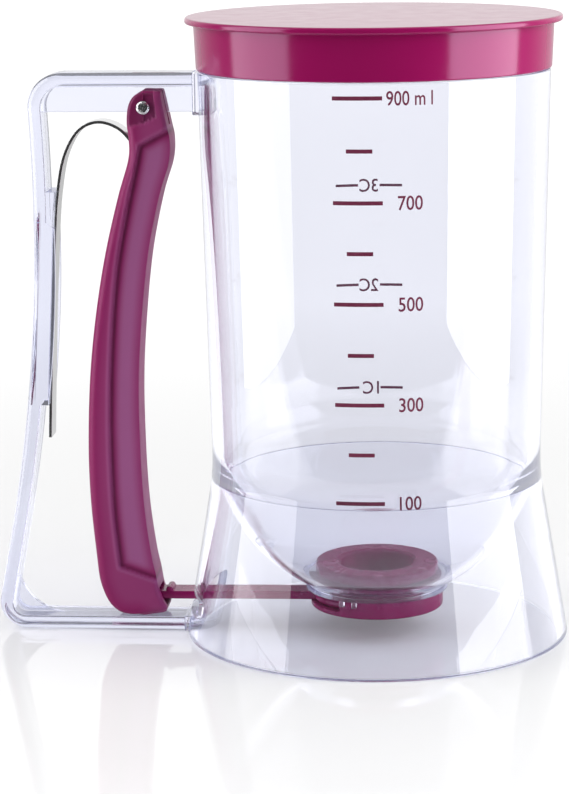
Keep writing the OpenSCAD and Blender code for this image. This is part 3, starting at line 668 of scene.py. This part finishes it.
def makeLever():
    # Each ring runs round the lever between a back point and a finger point: two corner arcs at each of
    # them, and the flat sides between. The panels sink the sides by a smooth step.
    rails = throughPoints(leverRails, lever["steps"])
    back, finger = fromPivot(rails[:, :2]), fromPivot(rails[:, 2:])
    last = len(rails) - 1
    fromEnd = np.minimum(np.arange(last + 1), last - np.arange(last + 1)) / (2 * lever["steps"])
    half = lever["width"] / 2 - lever["taper"] * np.maximum(0, 1 - fromEnd)**2
    span = np.linalg.norm(finger - back, axis=1)
    along = (finger - back) / span[:, None]
    rb, rf = np.minimum(lever["backEdge"], span / 3), np.minimum(lever["fingerEdge"], span / 3)
    arc = np.radians(np.linspace(0, 90, 9))[None]
    flat = np.linspace(0, 1, 46)[None, 1:-1]
    rb, rf, wide, long = rb[:, None], rf[:, None], half[:, None], span[:, None]
    s = [rb - rb * np.cos(arc), rb + (long - rf - rb) * flat, long - rf + rf * np.sin(arc)]
    level = np.broadcast_to(-wide, (last + 1, flat.shape[1]))
    y = [rb - wide - rb * np.sin(arc), level, rf - wide - rf * np.cos(arc)]
    s, y = np.concatenate(s, 1), np.concatenate(y, 1)
    s, y = np.concatenate([s, s[:, ::-1]], 1), np.concatenate([y, -y[:, ::-1]], 1)
    place = back[:, None] + s[..., None] * along[:, None]
    outline = fromPivot(np.vstack([throughPoints(panelBack, 4), [panelBottom], [panelTop]]))
    depth = insideDepth(place.reshape(-1, 2), outline).reshape(s.shape)
    sunk = lever["panelDepth"] * smoothStep(0.5 + depth / lever["panelEdge"])
    sunk = sunk - lever["lip"] * np.exp(-((depth + 0.8) / 0.4)**2)
    recess = insideDepth(place.reshape(-1, 2), fromPivot(screwRecess)).reshape(s.shape)
    limit = wide - sunk - lever["recessDepth"] * smoothStep(0.5 + recess / 0.5)
    onSide = (s > rb) & (s < long - rf)
    y = np.sign(y) * np.where(onSide, limit, np.minimum(np.abs(y), limit))
    rings = np.stack([place[..., 0], y, place[..., 1]], -1)
    # rounded ends: each end ring shrinks towards its middle while it moves outwards
    turn = np.radians(np.linspace(75, 0, 5))[:-1]
    capped = []
    for end, away in ((0, 1.0), (-1, -1.0)):
        ring = rings[end]
        flatWay = ring - ring.mean(0)
        inwards = -flatWay / np.linalg.norm(flatWay, axis=1, keepdims=True)
        step = np.cross(np.array([along[end][0], 0, along[end][1]]), np.array([0.0, 1.0, 0.0])) * away
        step *= np.sign(step[2]) * away
        shrink, rise = lever["capIn"] * (1 - np.cos(turn)), lever["capOut"] * np.sin(turn)
        capped.append(ring + shrink[:, None, None] * inwards + rise[:, None, None] * step)
    piece = solidFrom("leverBody", np.concatenate([capped[0], rings, capped[1][::-1]]))
    x, z = pivot["x"], pivot["z"]
    face = lever["width"] / 2 - lever["recessDepth"]
    seamHalf, seamOut, seams = lever["seamHalf"], lever["seamOut"], []
    for side in (-1, 1):
        for low, high in ((z + 2.2, z + 4.4), (z - 4.6, z - 2.2)):
            seams.append(roundedBox("seam", (-x - seamHalf, side * face - seamOut, low),
                                    (-x + seamHalf, side * face + seamOut, high), 0.1, 2))
    joinSolids(piece, seams)
    rodZ, hookX, slot = valve["rodZ"], lever["hookX"], lever["slot"] / 2
    rod = valve["rodW"] / 2 + lever["rodGap"]
    head = (lever["width"] - 2 * lever["headWall"]) / 2 + lever["rodGap"]
    root = throughPoints(fromPivot(springPath[:4]), 6)
    grown = (springStrip["thick"] / 2 + springStrip["gap"]) * normalsOf(root)
    rodTop = rodZ + valve["rodT"] + valve["collarTop"]
    hole = arcPoints((-x, z), pivot["screwR"] + 0.02, 0, 352.5, 48)
    (slotBack, slotFront), (pocketBack, pocketFront) = lever["rodSlotX"], lever["pocketX"]
    cutAway(piece, [
        roundedBox("webSlot", (-x - 8, -slot, z - 5.6), (-x + 10, slot, z + 20), 0.3),
        sidePlate("screwHole", hole, lever["width"] + 2, edge=0.0),
        sidePlate("springSlot", np.vstack([root + grown, (root - grown)[::-1]]), springStrip["width"] + 0.3,
                  edge=0.0),
        roundedBox("rodSlot", (-hookX - slotBack, -rod, rodZ - 2), (-hookX + slotFront, rod, rodTop), 0.3),
        roundedBox("headPocket", (-hookX - pocketBack, -head, rodZ - 2),
                   (-hookX - pocketFront, head, lever["pocketTop"]), 0.3)
    ])
    paintLeverLight(piece, outline, back, finger)
    return finishPiece(piece, "lever", leverPlastic, ("lever",), sharp=38)


def paintLeverLight(piece, outline, back, finger):
    # The side faces get a pale painted sheen that grows away from the back edge and is strongest in the
    # middles of the sunk panels, with a painted highlight along each panel's lip. The foot of each panel's
    # wall and the screw recess get dark painted shade. Each cover is a smooth step or a bell of a distance.
    points = verticesOf(piece.data)
    side, flat = np.abs(points[:, 1]) > lever["width"] / 2 - 1.7, points[:, [0, 2]]
    depth = insideDepth(flat, outline)
    fromBack = np.abs(insideDepth(flat, np.vstack([back, back[-2:0:-1]])))
    fromFinger = np.abs(insideDepth(flat, np.vstack([finger, finger[-2:0:-1]])))
    # painted sheen on the panels: lightest in their middles, fading towards their walls and the finger side
    panel = smoothStep((depth - 0.6) / 3) * (0.3 + 0.7 * smoothStep(fromFinger / 3.5))
    # outside the panels: painted sheen growing away from the back edge, and a painted highlight along each
    # panel's lip
    paintedEdgeLight = 0.3 * smoothStep((fromBack - 1) / 5) + 0.35 * np.exp(-((depth + 0.8) / 0.45)**2)
    paintedSheen = side * np.where(depth > 0.2, panel, paintedEdgeLight)
    recess = smoothStep(0.5 + insideDepth(flat, fromPivot(screwRecess)) / 0.5)
    # dark painted shade along the foot of each panel's wall and over the screw recess
    paintedShade = side * np.maximum(0.75 * np.exp(-((depth - 0.6) / 0.6)**2), 0.55 * recess)
    for name, values in (("paintedSheen", paintedSheen), ("paintedShade", paintedShade)):
        cover = piece.data.attributes.new(name, "FLOAT", "POINT")
        cover.data.foreach_set("value", values.astype(np.float32))


def makeScrew():
    # turned about its own axis, then laid along Y: shank, and a crowned head with a cross recess
    r, head, front = pivot["screwR"], pivot["headR"], lever["width"] / 2 - lever["recessDepth"]
    corners = [(0, -front + 1, 0), (r, -front + 1, 0.3), (r, front, 0.05), (head, front, 0.15),
               (head, front + 0.9, 0.3), (head * 0.7, front + 1.35, 0.5), (0, front + 1.5, 0)]
    piece = turned("pivotScrew", roundCorners(corners), 64)
    for angle in (20, 110):
        bar = roundedBox("cross", (-1.3, -0.27, front + 0.5), (1.3, 0.27, front + 3), 0.1, 2)
        bar.rotation_euler.z = math.radians(angle)
        cutAway(piece, [bar])
    points = verticesOf(piece.data)
    laid = np.stack([points[:, 0] - pivot["x"], -points[:, 2], points[:, 1] + pivot["z"]], -1)
    placeVertices(piece.data, laid)
    return finishPiece(piece, "lever", screwSteel, ("pivot_screw",))


def makeSpring():
    # a flat strip with rounded edges
    line = throughPoints(fromPivot(springPath), 10)
    half, t, edge = springStrip["width"] / 2, springStrip["thick"] / 2, springStrip["edge"]
    corners = [(-half, -t, edge), (half, -t, edge), (half, t, edge), (-half, t, edge)]
    section = spacedOut(roundCorners(corners, steps=3))
    strip = carried("springStrip", line, normalsOf(line), section)
    piece = finishPiece(strip, None, springSteel)
    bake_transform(piece)
    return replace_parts(piece, "return_spring")


valve = {"rodZ": 9.4, "rodT": 2.4, "rodW": 8.0, "collarT": 2.3, "collarTop": 1.2, "collarGap": 1.1,
         "headT": 2.2, "headH": 4.4, "gateR": 16.2, "gateX": -3.0, "gateGap": 0.15, "housingR": 20.0,
         "housingWall": 2.5, "housingFloor": 1.6, "outletR": 11.4, "seatR": 18.7, "seatT": 3.1,
         "seatWall": 2.6, "ringEdge": 1.0, "lugAngles": (243.0, 254.0), "lugW": 1.5, "lugH": 1.7}


def makeSlider():
    # gate plate, flat rod, hooked head and the round-topped collar that stops against the lever
    rodZ, rodT, rodW, hookX = valve["rodZ"], valve["rodT"], valve["rodW"], lever["hookX"]
    headX, headW = -hookX - 4.6, lever["width"] - 2 * lever["headWall"]
    r, gateX, collarX = valve["gateR"], valve["gateX"], -hookX + valve["collarGap"]
    disc = roundCorners([(0, rodZ, 0), (r, rodZ, 0.9), (r, rodZ + rodT, 0.9), (0, rodZ + rodT, 0)])
    plate = turned("valveSlider", disc, 128)
    placeVertices(plate.data, verticesOf(plate.data) + np.array([gateX, 0, 0]))
    rod, head, rodTop, skin = rodW / 2, headW / 2, rodZ + rodT, 0.001
    joinSolids(plate, [
        roundedBox("rod", (headX + 0.8, -rod, rodZ + skin), (gateX - r + 4, rod, rodTop - skin), 0.35),
        roundedBox("head", (headX, -head, rodZ), (headX + valve["headT"], head, rodZ + valve["headH"]), 0.5),
        roundedBox("collar", (collarX, -rod, rodZ + 0.2),
                   (collarX + valve["collarT"], rod, rodTop + valve["collarTop"]), 1.1, 6)
    ])
    return finishPiece(plate, "slider", valvePlastic, ("valve_slider",))


def makeHousing():
    # shallow cup under the boss, open on the handle's side for the gate plate
    r, wall = valve["housingR"], valve["housingWall"]
    top, low = bossZ - 0.02, valve["rodZ"] - valve["gateGap"]
    drop, foot = valve["outletR"] + 0.6, low - valve["housingFloor"]
    corners = [(drop, low, 0.3), (drop, foot, 0.3), (r, foot, 0.7), (r, top, 0.25), (r - wall, top, 0.2),
               (r - wall, low, 0.4)]
    piece = turned("valveHousing", roundCorners(corners), 160)
    door = valve["gateR"] + 1
    cutAway(piece, [roundedBox("door", (-r - 1, -door, low + 0.001), (0, door, bossZ + 10), 0.2)])
    angle, radii = sum(valve["lugAngles"]) / 2, (r - 1, jug["bossR"] - 0.4)
    joinSolids(piece, bayonetParts("tab", (angle,), radii, bossZ - valve["lugH"] - 0.6, bossZ - 0.1))
    return finishPiece(piece, "jug", valvePlastic, ("valve_housing",))


def makeSeat():
    # flanged ring through the bowl's floor, with soft edges round the outlet
    hole, sleeve = valve["outletR"], valve["outletR"] + valve["seatWall"]
    low, top = valve["rodZ"] + valve["rodT"] + valve["gateGap"], jug["floorZ"] + valve["seatT"]
    edge, rest = valve["ringEdge"], jug["floorZ"] + 0.02
    corners = [(hole, low, 0.3), (sleeve, low, 0.3), (sleeve, rest, 0.1), (valve["seatR"], rest, 0.2),
               (valve["seatR"], top, edge), (hole, top, edge)]
    piece = turned("valveSeatRing", roundCorners(corners, steps=8), 160)
    return finishPiece(piece, "jug", valvePlastic, ("valve_seat",))


scale = {"centre": -1.8, "longMark": 14.0, "shortMark": 7.4, "thickMark": 1.15, "ink": 0.03, "bolder": 0.014,
         "longAt": {165.8: "900 m l", 136.6: "700", 107.9: "500", 79.0: "300", 50.3: "100"},
         "shortAt": (151.1, 122.3, 93.3, 64.5), "shortShift": 0.5, "capHeight": 4.0, "capShare": 0.7,
         "extrude": 0.01, "longLabelX": 6.3, "labelX": 9.4, "cupCentre": 4.7,
         "cups": {129.1: "3C", 97.8: "2C", 65.1: "1C"}, "dash": 7.4, "dashGap": 7.0, "thickDash": 0.8,
         "narrowLong": 0.78, "narrow": 0.86, "narrowCup": 0.95}


def onWall(across, height, proud, back=False):
    # wraps a flat drawing round the wall: across is an arc length, height is level with Z
    radius = bodyR(height) + proud
    a = across / bodyR(height)
    x, y = radius * np.sin(a), -radius * np.cos(a)
    return np.stack([-x, -y, height], -1) if back else np.stack([x, y, height], -1)


def printMark(left, right, z, thick, back=False):
    across = np.linspace(left, right, 8)[:, None]
    height = z + np.array([-1, -1, 1, 1])[None] * thick / 2
    proud = np.array([0.0, 1.0, 1.0, 0.0])[None] * scale["ink"]
    return solidFrom("mark", onWall(across + 0 * height, height + 0 * across, proud + 0 * across, back))


def printLabel(words, left, z, narrow, back=False):
    # built-in letters made into a thin mesh, narrowed, and wrapped round the wall
    capHeight = scale["capHeight"]
    letters = bpy.data.curves.new("letters", "FONT")
    letters.body = words
    letters.size = capHeight / scale["capShare"]
    letters.extrude = scale["extrude"]
    letters.offset = scale["bolder"] * capHeight
    letters.resolution_u = 4
    holder = addObject("letters", letters)
    bpy.context.view_layer.update()
    mesh = bpy.data.meshes.new_from_object(holder.evaluated_get(bpy.context.evaluated_depsgraph_get()))
    bpy.data.objects.remove(holder)
    points = verticesOf(mesh) * mm
    across = left + (points[:, 0] - points[:, 0].min()) * narrow
    proud = np.where(points[:, 2] > 0, scale["ink"], 0.0)
    placeVertices(mesh, onWall(across, z + points[:, 1] - capHeight / 2, proud, back))
    return addObject("label", mesh)


def joinPrints(name, prints):
    work = bmesh.new()
    for item in prints:
        work.from_mesh(item.data)
        bpy.data.objects.remove(item)
    mesh = bpy.data.meshes.new(name)
    work.to_mesh(mesh)
    work.free()
    return finishPiece(addObject(name, mesh), "jug", scaleInk)


def makeScale():
    prints = []
    middle, long, short = scale["centre"], scale["longMark"] / 2, scale["shortMark"] / 2
    for z, words in scale["longAt"].items():
        prints.append(printMark(middle - long, middle + long, z, scale["thickMark"]))
        left, narrow = scale["labelX"], scale["narrow"]
        if " " in words:
            left, narrow = scale["longLabelX"], scale["narrowLong"]
        prints.append(printLabel(words, left, z, narrow))
    middle += scale["shortShift"]
    for z in scale["shortAt"]:
        prints.append(printMark(middle - short, middle + short, z, scale["thickMark"]))
    joinPrints("scaleMillilitres", prints)
    prints = []
    middle, gap, dash = scale["cupCentre"], scale["dashGap"] / 2, scale["dash"]
    for z, words in scale["cups"].items():
        prints.append(printMark(middle + gap, middle + gap + dash, z, scale["thickDash"], True))
        prints.append(printMark(middle - gap - dash, middle - gap, z, scale["thickDash"], True))
        prints.append(printLabel(words, middle - gap + 0.5, z, scale["narrowCup"], True))
    joinPrints("scaleCups", prints)


makeJug()
makeHandleFrame()
makeLid()
makeLever()
makeScrew()
makeSpring()
makeSlider()
makeHousing()
makeSeat()
makeScale()
print("all pieces made")

# places and sizes in metres; tableLift and roomFront are strengths at each end of the ramps after them
studio = {"tableFront": -0.2, "tableReach": 4.0, "tableDrop": 0.0002, "tableGrey": 0.66, "tableIor": 1.35,
          "tableRoughness": (0.03, 0.07), "tableLift": (0.06, 0.42), "tableLiftFrom": (0.14, 0.6),
          "tableInEdges": 0.6, "roomDiffuse": 0.5, "roomFront": (0.05, 1.0), "roomTurn": (0.2, 0.75),
          "roomInEdges": 0.25,
          "boxes": {"leftBox": ((-0.39, -0.156, 0.29), (0.35, 0.58), (1, 0, 0), 2.3),
                    "rightBox": ((0.39, -0.127, 0.29), (0.41, 0.58), (-1, 0, 0), 3.8),
                    "topBox": ((0.0, 0.1, 1.2), (1.2, 0.8), (0, 0, -1), 3.8)}}
cameraView = {"place": (0.047873, -0.85079, 0.242656), "aim": (-0.08644714, 0.97665702, -0.19664171),
              "roll": -0.73, "lens": 131.52}


def seenRay(tree, path):
    # 1 for rays from the camera and through clear plastic
    return mathOf(tree, "MAXIMUM", path.outputs["Is Camera Ray"], path.outputs["Is Transmission Ray"])


def bouncedInEdges(tree, path):
    # 1 for light that has bounced inside clear plastic, or off gloss: it comes from all over the room, so
    # that clear edges show darker lines
    return mathOf(tree, "GREATER_THAN", path.outputs["Glossy Depth"], 0.5)


def makeTable():
    reach, front = studio["tableReach"], studio["tableFront"]
    mesh = bpy.data.meshes.new("tableTop")
    corners = [(-reach, front, 0), (reach, front, 0), (reach, reach, 0), (-reach, reach, 0)]
    mesh.from_pydata(corners, [], [(0, 1, 2, 3)])
    table = addObject("tableTop", mesh)
    table.location.z = -studio["tableDrop"]
    finish, tree, shader = newFinish("whiteTable")
    grey = studio["tableGrey"]
    shader.inputs["Base Color"].default_value = (grey, grey, grey, 1)
    shader.inputs["IOR"].default_value = studio["tableIor"]
    polish = noiseField(tree, 3.0)
    tree.links.new(between(tree, polish, *studio["tableRoughness"]), shader.inputs["Roughness"])
    # lifts the table to white where it is seen, straight on or through clear plastic, more so far from the
    # object and from inside clear edges
    path = tree.nodes.new("ShaderNodeLightPath")
    place = tree.nodes.new("ShaderNodeTexCoord")
    away = addNode(tree, "ShaderNodeVectorMath", operation="LENGTH")
    tree.links.new(place.outputs["Object"], away.inputs[0])
    far = between(tree, away.outputs["Value"], *studio["tableLift"], *studio["tableLiftFrom"])
    strength = mixOf(tree, bouncedInEdges(tree, path), far, studio["tableInEdges"])
    shader.inputs["Emission Color"].default_value = (1, 1, 1, 1)
    lift = mathOf(tree, "MULTIPLY", seenRay(tree, path), strength)
    tree.links.new(lift, shader.inputs["Emission Strength"])
    mesh.materials.append(finish)


def makeWorld():
    # white where it is seen and through clear plastic; in gloss, white behind the object and dark before it
    world = bpy.data.worlds.new("studio")
    bpy.context.scene.world = world
    world.use_nodes = True
    tree = world.node_tree
    back = tree.nodes["Background"]
    path = tree.nodes.new("ShaderNodeLightPath")
    place = tree.nodes.new("ShaderNodeTexCoord")
    axes = tree.nodes.new("ShaderNodeSeparateXYZ")
    tree.links.new(place.outputs["Generated"], axes.inputs[0])
    front = between(tree, axes.outputs["Y"], *studio["roomFront"], *studio["roomTurn"])
    seen = mixOf(tree, bouncedInEdges(tree, path), 1.0, studio["roomInEdges"])
    strength = mixOf(tree, path.outputs["Is Glossy Ray"], studio["roomDiffuse"], front)
    strength = mixOf(tree, seenRay(tree, path), strength, seen)
    back.inputs["Color"].default_value = (1, 1, 1, 1)
    tree.links.new(strength, back.inputs["Strength"])


def makeLamps():
    for name, (place, size, aim, power) in studio["boxes"].items():
        light = bpy.data.lights.new(name, "AREA")
        light.shape = "RECTANGLE"
        light.size, light.size_y = size
        light.energy = power
        lamp = addObject(name, light)
        lamp.location = place
        lamp.rotation_euler = Vector(aim).to_track_quat("-Z", "Y").to_euler()
        lamp.visible_camera = False
        lamp.visible_transmission = False


def makeCamera():
    data = bpy.data.cameras.new("camera")
    data.lens = cameraView["lens"]
    camera = addObject("camera", data)
    camera.location = cameraView["place"]
    camera.rotation_mode = "QUATERNION"
    aim = Vector(cameraView["aim"]).to_track_quat("-Z", "Y")
    camera.rotation_quaternion = aim @ Quaternion((0, 0, 1), math.radians(cameraView["roll"]))
    bpy.context.scene.camera = camera


makeTable()
makeWorld()
makeLamps()
makeCamera()
bpy.context.scene.view_settings.view_transform = "Standard"
# room for light that bounces many times inside clear walls
bpy.context.scene.cycles.glossy_bounces = 12
bpy.context.scene.cycles.max_bounces = 24
print("table, light and camera set")
